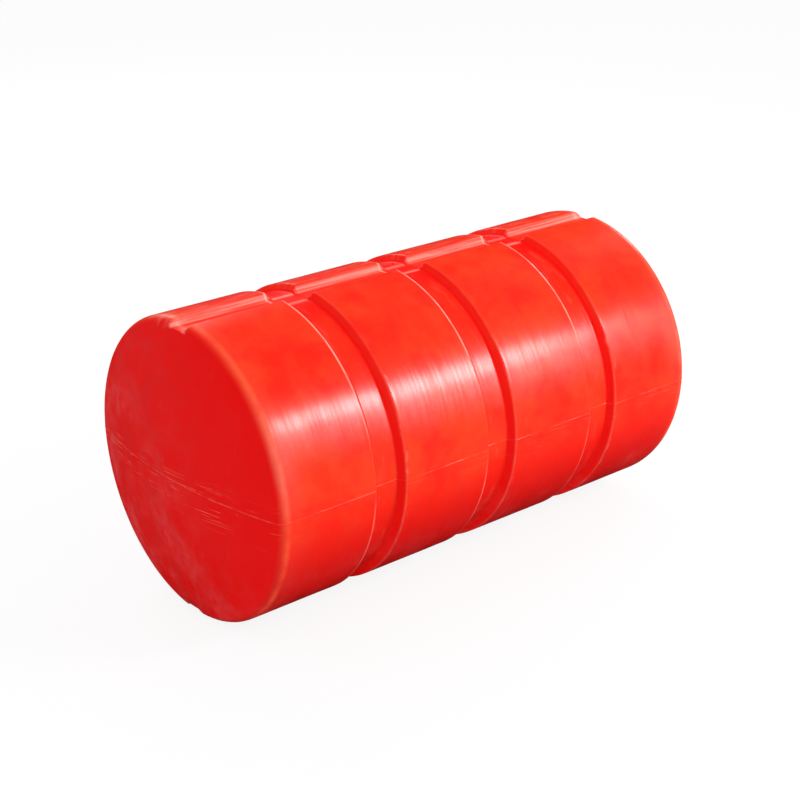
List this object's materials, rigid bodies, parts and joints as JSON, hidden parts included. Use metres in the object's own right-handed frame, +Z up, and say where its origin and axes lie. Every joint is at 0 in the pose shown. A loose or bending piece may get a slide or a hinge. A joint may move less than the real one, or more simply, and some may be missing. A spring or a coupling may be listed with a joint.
{
  "type": "foam-filled barrier buoy",
  "caption": "Moulded cylindrical barrier float with strap grooves round it and a cable channel along its top and underside.",
  "frame": {"origin": "on the ground under the middle of the float", "axes": "+X along the float, +Z up through the upper cable channel, +Y across the float"},
  "size_m": [0.9518, 0.5018, 0.4971],
  "materials": {
    "red_shell": "moulded polyethylene, satin gloss with fine scuffs"
  },
  "bodies": {
    "root": {"float_body": "red_shell"}
  },
  "joints": []
}
